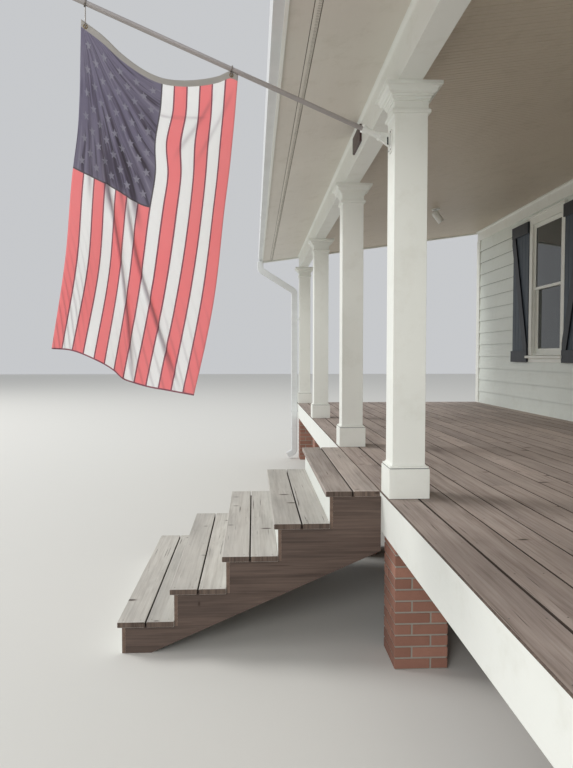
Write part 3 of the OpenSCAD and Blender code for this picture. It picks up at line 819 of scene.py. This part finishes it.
def brick_piers():
    """Pinwheel courses of bricks round a mortar core."""
    low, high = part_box("foundation_piers")
    size = high.y - low.y
    brick_h = 0.057
    joint = 0.01
    across = 0.092
    inset = 0.004
    courses = round((high.z - low.z) / (brick_h + joint))
    course_h = (high.z - low.z) / courses
    y_mid = plan_middle("foundation_piers")[1]
    pile = Pile(13)
    for number in range(1, 7):
        x_mid = plan_middle(f"column_{number}")[0]
        pile.block((x_mid - size / 2 + inset, low.y + inset, low.z),
                   (x_mid + size / 2 - inset, high.y - inset, high.z), slot=1, tone=MIDDLE_TONE)
        for course in range(courses):
            z0 = low.z + course_h * course + joint / 2
            z1 = z0 + course_h - joint
            ends = (-size / 2, size / 2 - across - joint)
            if course % 2:
                ends = (across + joint - size / 2, size / 2)
            for quarter in range(4):
                turn = Matrix.Rotation(math.pi / 2 * quarter, 4, "Z")
                pile.block((ends[0], -size / 2, z0), (ends[1], across - size / 2, z1),
                           at=(x_mid, y_mid, 0), turn=turn)
    make_piece("brick_piers", pile, [BRICK, MORTAR], ["foundation_piers"])


def foundation_blocks():
    """Four courses of concrete blocks in running bond, round a mortar core."""
    low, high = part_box("foundation_wall")
    courses = 4
    block_w = 0.4
    shortest = 0.03
    joint = 0.01
    inset = 0.004
    count = round((high.x - low.x) / block_w)
    pitch = (high.x - low.x) / count
    course_h = (high.z - low.z) / courses
    pile = Pile(17)
    pile.block((low.x + inset, low.y + inset, low.z), (high.x - inset, high.y - inset, high.z), slot=1,
               tone=MIDDLE_TONE)
    for course in range(courses):
        z0 = low.z + course_h * course
        shift = pitch / 2 if course % 2 else 0
        for i in range(-1, count + 1):
            x0 = max(low.x, low.x + pitch * i + shift + joint / 2)
            x1 = min(high.x, low.x + pitch * (i + 1) + shift - joint / 2)
            if x1 - x0 > shortest:
                pile.block((x0, low.y, z0 + (joint if course else 0)), (x1, high.y, z0 + course_h), e=0.003)
    make_piece("foundation_blocks", pile, [CONCRETE, MORTAR], ["foundation_wall"])


# Flag

# The pole leans out from the street face of the fourth column's shaft
BRACKET_H = 1.998
POLE_X, COLUMN_Y = plan_middle("column_4")
POLE_ROOT = Vector((POLE_X, COLUMN_Y - SHAFT_HALF, DECK_HIGH.z + BRACKET_H))
HEADING = math.radians(18.3 - 90)
OUT = Vector((math.cos(HEADING), math.sin(HEADING), 0))
UP = Vector((0, 0, 1))
ASIDE = OUT.cross(UP)
POLE_TILT = math.radians(15.5)
POLE_DIR = OUT * math.cos(POLE_TILT) + UP * math.sin(POLE_TILT)

# The flag's flat size, and its parts as shares of the width and length
FLAG_W = 0.88
FLAG_L = 1.62
STRIPES = 13
CANTON_STRIPES = 7
CANTON_END = 0.4
HEAD_END = 0.022
SEAM = 0.0038

# Where the flag hangs: for each share of its length, some stripe edges as (number, picture x, picture y)
FLAG_NET = (
    (0.0, ((0, 81, 19), (2, 104, 36.6), (3.5, 121.5, 53.3), (5, 139.5, 67), (7, 162.5, 78),
           (8.5, 181, 80.3), (10, 200.5, 79.4), (11.5, 219, 75.8), (12.4, 231.5, 71.2), (13, 238, 75))),
    (0.1, ((0, 80.3, 57), (3.5, 118.7, 87), (7, 160.2, 108), (10, 198.7, 112.5), (13, 236, 106))),
    (0.2, ((0, 79.6, 95), (3.5, 115.5, 120), (7, 154.3, 143), (8, 165.6, 144), (10, 194, 145),
           (13, 232.6, 139))),
    (0.3, ((0, 77.5, 132), (3.5, 113.5, 153), (7, 154.3, 175), (10, 192.2, 175), (13, 228.8, 172))),
    (0.4, ((0, 73, 167.5), (3.5, 110.5, 186), (7, 149.5, 207.5), (10, 189.2, 205.5), (13, 224.5, 204))),
    (0.7, ((0, 65, 259), (3.5, 104.3, 271), (7, 139.3, 293), (10, 176.9, 297), (13, 213.2, 300))),
    (1.0, ((0, 51.5, 349), (2, 72, 351), (4, 93.6, 359.5), (6, 114, 371), (7, 123.6, 379.3),
           (8, 135, 383.5), (9, 147, 387), (11, 171, 391.5), (13, 193, 395.5))))

# Sharp folds that spread from the tip corner: angle in degrees, half its width, depth for each metre
FLAG_CREASES = ((8, 1.1, 0.008), (17, 1.5, 0.016), (24, 1.0, 0.008), (30, 1.5, 0.015), (36, 0.9, 0.007),
                (41, 1.5, 0.016), (48, 1.0, 0.008), (55, 1.6, 0.014), (62, 1.1, 0.007), (69, 1.6, 0.012),
                (79, 1.3, 0.008))
# Long pleats below the canton: width share at the canton's foot, run, bend, half width, depth
FLAG_PLEATS = ((0.245, 0.61, 0.0, 0.011, 0.016), (0.38, 0.52, 0.62, 0.011, 0.016))


def in_pole_plane(x, y):
    """The point of the pole's upright plane at a place in the picture: out and up from the root."""
    focus = LENS_MM / SENSOR_MM * PHOTO_H
    yaw = Matrix.Rotation(math.radians(90 - CAMERA_YAW), 3, "Z")
    pitch = Matrix.Rotation(math.radians(90 - CAMERA_PITCH), 3, "X")
    ray = yaw @ pitch @ Vector(((x - PHOTO_W / 2) / focus, (PHOTO_H / 2 - y) / focus, -1))
    eye = Vector(CAMERA_AT)
    point = eye + ray * ((POLE_ROOT - eye).dot(ASIDE) / ray.dot(ASIDE)) - POLE_ROOT
    return Vector((point.dot(OUT), point.dot(UP)))


def smooth_curve(knots, t):
    """A smooth curve through (place, point) knots with uneven places."""
    last = len(knots) - 1
    i = max([k for k in range(last) if knots[k][0] <= t] or [0])

    def stretch(k):
        (t0, p0), (t1, p1) = knots[k:k + 2]
        return t1 - t0, (p1 - p0) / (t1 - t0)

    def slope(k):
        if k in (0, last):
            return stretch(min(k, last - 1))[1]
        before, left = stretch(k - 1)
        after, right = stretch(k)
        return (left * after + right * before) / (before + after)
    (t0, p0), (t1, p1) = knots[i:i + 2]
    span = t1 - t0
    f = (t - t0) / span
    return (p0 * (2 * f ** 3 - 3 * f ** 2 + 1) + p1 * (3 * f ** 2 - 2 * f ** 3)
            + slope(i) * span * (f ** 3 - 2 * f ** 2 + f) + slope(i + 1) * span * (f ** 3 - f ** 2))


FLAG_ROWS = [(t, [(number / STRIPES, in_pole_plane(x, y)) for number, x, y in row]) for t, row in FLAG_NET]


@functools.cache
def flag_column(s):
    """The knots of a line down the cloth, at a share of its width."""
    return [(at, smooth_curve(row, s)) for at, row in FLAG_ROWS]


def dip(distance, width):
    return math.exp(-(distance / width) ** 2)


def fade(value, start, end):
    """Rises smoothly from 0 at start to 1 at end."""
    f = min(1.0, max(0.0, (value - start) / (end - start)))
    return f * f * (3 - 2 * f)


def from_tip(s, t):
    """Distance from the tip corner in metres, and the angle from the outer edge in degrees."""
    across = s * FLAG_W
    down = t * FLAG_L
    reach = math.hypot(across, down)
    return reach, (math.degrees(math.atan2(across, down)) if reach else 0)


def flag_creases(s, t):
    """Depth of the creases that spread from the tip corner."""
    reach, angle = from_tip(s, t)
    down = t * FLAG_L
    bend = 2.5 * noise.noise((reach * 4, 2.5, 7.1))
    depth = sum(depth * dip(angle - at - bend, width) for at, width, depth in FLAG_CREASES)
    reach_share = min(reach, 0.5) * fade(reach, 0.02, 0.12)
    in_canton = (1 - fade(down, 0.6, 0.82)) * (1 - fade(s, 0.46, 0.55))
    return depth * reach_share * in_canton * fade(down, 0.02, 0.08)


def flag_pleats(s, t):
    """Depth of the two long pleats below the canton."""
    depths = 0
    for start, run, turn, width, depth in FLAG_PLEATS:
        below = t - CANTON_END
        apart = (s - start - run * below - turn * below ** 2) * FLAG_W
        depths += depth * (dip(apart, width) - 0.4 * dip(apart - 0.03, 0.02))
    return depths * fade(t, 0.36, 0.46) * (1 - fade(t, 0.88, 1.02))


def flag_wrinkles(s, t):
    """Fine slanting wrinkles: 0 on flat cloth, 1 in the middle of a wrinkle."""
    across = s * FLAG_W
    down = t * FLAG_L
    sway = 0.35 * noise.noise((across * 3, down * 3, 4.2))
    # Rows of them towards the foot, at the outer edge and further in
    outer = max(0, math.sin((across - 0.42 * down + 0.05 * sway) * 170)) ** 3
    outer *= fade(t, 0.5, 0.9) * (1 - fade(s, 0.1, 0.26))
    inner = max(0, math.sin((across - 0.5 * down + 0.06 * sway) * 110)) ** 4
    inner *= fade(t, 0.62, 0.95) * fade(s, 0.34, 0.6)
    # Two below the canton
    below = 0.8 * dip(across - 0.5 * down + 0.19, 0.007) + 0.6 * dip(across - 0.5 * down + 0.135, 0.006)
    below *= fade(t, 0.36, 0.4) * (1 - fade(t, 0.5, 0.62)) * fade(s, 0.4, 0.5)
    # Two from the heading's inner end, and a level one
    slants = dip(across + 0.55 * down - 0.80, 0.012) + 0.7 * dip(across + 0.5 * down - 0.90, 0.012)
    slants *= fade(s, 0.62, 0.72) * (1 - fade(t, 0.2, 0.3)) * fade(t, 0.03, 0.1)
    packed = (dip((t - 0.12 + 0.02 * (s - 0.7)) * FLAG_L, 0.005) * fade(s, 0.53, 0.56)
              * (1 - fade(s, 0.74, 0.84)))
    return min(1, 0.8 * outer + 0.55 * inner + below + 0.7 * slants + 0.8 * packed)


def flag_fold(s, t):
    """How far the cloth stands out of the pole's plane."""
    reach, angle = from_tip(s, t)
    drape = 0.02 * math.sin(math.radians(angle) * 5) * min(reach, 0.5) * fade(t, 0, 0.1)
    long_wave = math.sin(6.5 * s - 3.0 * t + 0.4) * 0.022 * t
    hem_wave = math.sin(12.0 * s + 5.0 * t * t + 1.3) * 0.012 * t ** 2
    belly = -0.02 * math.sin(math.pi * s) * math.sin(math.pi * min(t * 1.4, 1.0))
    wrinkles = 0.0035 * flag_wrinkles(s, t)
    crumple = 0.0014 * noise.noise((s * 8, t * 14, 0.5)) + 0.0006 * noise.noise((s * 23, t * 30, 3.5))
    soft = (long_wave + hem_wave + belly) * fade(t, 0, 0.17)
    return soft + drape - flag_creases(s, t) - flag_pleats(s, t) - wrinkles + crumple


def flag_point(s, t):
    """A point of the cloth: s runs from the outer edge to the inner one, t from the heading down."""
    h, v = smooth_curve(flag_column(s), t)
    return POLE_ROOT + OUT * h + UP * v + ASIDE * flag_fold(s, t)


def with_seams(edges, width, cells, step):
    """Places from 0 to 1: a narrow strip at each edge and even cells between them."""
    places = [0]
    for a, b in zip(edges, edges[1:]):
        low = a + (2 * width if a == 0 else width)
        high = b - (2 * width if b == 1 else width)
        count = cells or max(1, round((high - low) / step))
        places += [low + (high - low) * i / count for i in range(count + 1)]
    return places + [1]


def flag_slot(s, t):
    """The material at a place of the cloth: stripe, canton, canvas heading or stitched seam."""
    side = SEAM / FLAG_W
    lengthwise = SEAM / FLAG_L
    canton_side = CANTON_STRIPES / STRIPES
    from_edge = abs(s * STRIPES - round(s * STRIPES)) / STRIPES
    in_canton = s < canton_side and t < CANTON_END
    at_side = from_edge < side and (not in_canton or s < side or s > canton_side - side)
    at_foot = s < canton_side and abs(t - CANTON_END) < lengthwise
    if t < HEAD_END:
        return 3
    if at_side or at_foot or t > 1 - 2 * lengthwise:
        return 5 if t < CANTON_END + lengthwise and s < canton_side + side else 4
    return 2 if in_canton else int(s * STRIPES) % 2


def flag_sheet():
    """The cloth, with its weave's coordinates and, for its material, the painted shade of its folds."""
    cells = 9
    row_h = 0.0062
    across = with_seams([k / STRIPES for k in range(STRIPES + 1)], SEAM / FLAG_W, cells, 0)
    down = with_seams([0, HEAD_END, CANTON_END, 1], SEAM / FLAG_L, 0, row_h)
    width = len(across)
    places = [(s, t) for t in down for s in across]
    points = [flag_point(s, t) for s, t in places]
    # Painted shade: how much the folds darken the cloth, from the depth of creases, pleats and wrinkles.
    doubled = [min(1, 150 * flag_creases(s, t) + 45 * max(0, flag_pleats(s, t)) + 0.55 * flag_wrinkles(s, t))
               for s, t in places]
    faces = []
    slots = []
    for r in range(len(down) - 1):
        for c in range(width - 1):
            a = r * width + c
            faces.append((a, a + 1, a + width + 1, a + width))
            slots.append(flag_slot((across[c] + across[c + 1]) / 2, (down[r] + down[r + 1]) / 2))
    cloths = [FLAG_RED, FLAG_WHITE, FLAG_BLUE, FLAG_CANVAS, FLAG_SEAM, CANTON_SEAM]
    mesh = new_mesh("flag_cloth", points, faces, cloths, slots, doubled=doubled)
    weave = mesh.uv_layers.new(name="weave")
    for loop in mesh.loops:
        s, t = places[loop.vertex_index]
        weave.data[loop.index].uv = (s * FLAG_W, t * FLAG_L)
    mesh.shade_smooth()
    sheet = add_piece("flag_cloth", mesh, ["flag"])
    thick = sheet.modifiers.new("thickness", "SOLIDIFY")
    thick.thickness = 0.0008
    thick.offset = 0
    return sheet


def flag_star(pile, s0, t0, side):
    """A five-pointed patch that follows the cloth, with its first point to the flag's upper edge."""
    outer, inner = 0.0215, 0.0088
    per_edge = 3
    rings = 3
    corners = [Vector((math.cos(math.pi * (k / 5 + 1)), math.sin(math.pi * (k / 5 + 1))))
               * (inner if k % 2 else outer) for k in range(10)]
    outline = [corners[k].lerp(corners[(k + 1) % 10], i / per_edge)
               for k in range(10) for i in range(per_edge)]
    n = len(outline)

    def spot(u, v, lift):
        return flag_point(s0 + u / FLAG_W, t0 + v / FLAG_L) + ASIDE * side * lift
    points = [spot(u * ring / rings, v * ring / rings, 0.0016)
              for ring in range(1, rings + 1) for u, v in outline]
    foot = len(points)
    points += [spot(u, v, 0.0001) for u, v in outline] + [spot(0, 0, 0.0001), spot(0, 0, 0.0018)]
    faces = skin(rings + 1, n)
    for k in range(n):
        m = (k + 1) % n
        faces += [(foot + n + 1, k, m), (foot + n, foot + m, foot + k)]
    pile.add(points, faces)


def flag_stars():
    """Fifty sewn stars on each face of the canton, in nine rows of six and five."""
    pile = Pile()
    for side in (-1, 1):
        for column in range(11):
            for row in range(column % 2, 9, 2):
                flag_star(pile, CANTON_STRIPES / STRIPES * (row + 1) / 10,
                          HEAD_END + (CANTON_END - HEAD_END) * (column + 1) / 12, side)
    return make_piece("flag_stars", pile, [FLAG_STAR])


def bracket_fittings():
    """The bracket's four screws, and a dark insert of painted shade in the slot in its web."""
    plate_t = 0.008
    screw_x = 0.02
    screw_z = 0.048
    slot_low = (0.021, -0.006, -0.021)
    slot_high = (0.03, 0.006, 0.022)
    pile = Pile()
    for dx in (-screw_x, screw_x):
        for dz in (-screw_z, screw_z):
            pile.turned(SCREW_PROFILE, 12, POLE_ROOT + Vector((dx, -plate_t, dz)), turn=TO_STREET)
    # Dark shutter paint in the slot: painted shade.
    pile.block(slot_low, slot_high, e=0.001, slot=1, at=POLE_ROOT, turn=axes(OUT, ASIDE, UP))
    make_piece("bracket_fittings", pile, [STEEL, SHUTTER])


def flag_clips():
    """Two brass grommets in the heading, and a ring on the pole with a link down to each."""
    link_r = 0.006
    grommets = Pile()
    clips = Pile()
    in_cloth = axes(OUT, UP, ASIDE)
    around = axes(ASIDE, POLE_DIR.cross(ASIDE), POLE_DIR)
    crossing = axes(ASIDE, UP, OUT)
    for s in (0.03, 0.955):
        eye = flag_point(s, HEAD_END / 2)
        grommets.hoop(eye, in_cloth, 0.0085, 0.0028)
        run = (eye - POLE_ROOT).dot(OUT) / math.cos(POLE_TILT)
        ring = POLE_ROOT + POLE_DIR * run
        clips.hoop(ring, around, 0.0155, 0.0035, turns=32)
        top = ring - UP * 0.014
        half = (top - eye).length / 2 + 0.004
        clips.hoop((top + eye) / 2, crossing, link_r, 0.0022, half / link_r, turns=32)
    make_piece("flag_clips", clips, [STEEL], smooth=True)
    return make_piece("flag_grommets", grommets, [BRASS], smooth=True)


# Lights, floor and camera

def add_camera():
    data = bpy.data.cameras.new("camera")
    data.sensor_fit = "VERTICAL"
    data.sensor_height = SENSOR_MM
    data.lens = LENS_MM
    data.clip_end = 200.0
    camera = add_object("camera", data)
    camera.location = CAMERA_AT
    camera.rotation_euler = (math.radians(90 - CAMERA_PITCH), 0, math.radians(90 - CAMERA_YAW))
    bpy.context.scene.camera = camera


def add_light(name, at, towards, size, power, colour):
    data = bpy.data.lights.new(name, "AREA")
    data.shape = "DISK"
    data.size = size
    data.energy = power
    data.color = colour
    lamp = add_object(name, data)
    lamp.location = at
    lamp.rotation_euler = (Vector(towards) - Vector(at)).to_track_quat("-Z", "Y").to_euler()


def add_stage():
    half = 60
    corners = [(-half, -half, 0), (half, -half, 0), (half, half, 0), (-half, half, 0)]
    g = Graph("floor", 0.9)
    g.colour((219, 218, 213))
    add_object("floor", new_mesh("floor", corners, [(0, 1, 2, 3)], [g.material], [0]))


def set_world():
    world = bpy.data.worlds.new("world")
    world.use_nodes = True
    back = world.node_tree.nodes["Background"]
    back.inputs["Color"].default_value = (0.95, 0.97, 1.0, 1)
    back.inputs["Strength"].default_value = 0.6
    bpy.context.scene.world = world
    bpy.context.scene.view_settings.view_transform = "Standard"


add_camera()
set_world()
add_stage()
add_light("yard_sky", (-10.5, -25.5, 19.5), (0, 0, 1.5), 13.5, 5200, (1.0, 0.99, 0.97))
add_light("near_end", (30.4, -14.4, 11.7), (0, 0, 1.8), 14, 4200, (1.0, 0.99, 0.98))
add_light("house_side", (16, 12, 12), (0, 1, 2), 9, 450, (0.97, 0.98, 1.0))

dress(WHITE, *[f"column_{i}" for i in range(1, 7)], edge=0.0015)
dress(WHITE, "corner_boards", "window_left", "window_right", "door_frame", edge=0.001)
dress(WHITE_LONG, "skirt_boards", "front_beam", "fascia", "rake_boards", "wall_frieze", edge=0.0015)
dress(RISER, "stair_risers", edge=0.001)
dress(CEILING, "porch_ceiling")
dress(SOFFIT, "eave_soffit")
dress(SIDING, "house_wall")
dress(SHUTTER, "front_door", "shutters_left", "shutters_right")
dress(RAW, "deck_frame", "roof_frame")
dress(STRINGER, "stair_stringers")
dress(DECK, "porch_floor", "landing", "tread_1", "tread_2", "tread_3", "tread_4")
dress(BRICK, "foundation_piers")
dress(CONCRETE, "foundation_wall")
dress(ROOF_METAL, "roof")
dress(GUTTER_METAL, "gutter", "downspout_left", "downspout_right")
dress(VENT_SHADE_METAL, "soffit_vent")
dress(FIXTURE, "spotlight", "flag_bracket")
dress(PLAQUE, "beam_plaque", edge=0.002)
dress(POLE, "flag_pole")
dress(GLASS, "window_glass", "door_glass")
dress(FLAG_WHITE, "flag")

deck_boards()
step_boards("landing", 31, LANDING)
for number in range(1, 5):
    step_boards(f"tread_{number}", 31 + number, STEP)
siding_boards()
shutter_boards("left", -WINDOW_X)
shutter_boards("right", WINDOW_X)
ceiling_boards()
soffit_strip()
brick_piers()
foundation_blocks()
downspout_fittings()
plinth_shade_lines()
bracket_fittings()
flag = flag_sheet()
stars = flag_stars()
grommets = flag_clips()
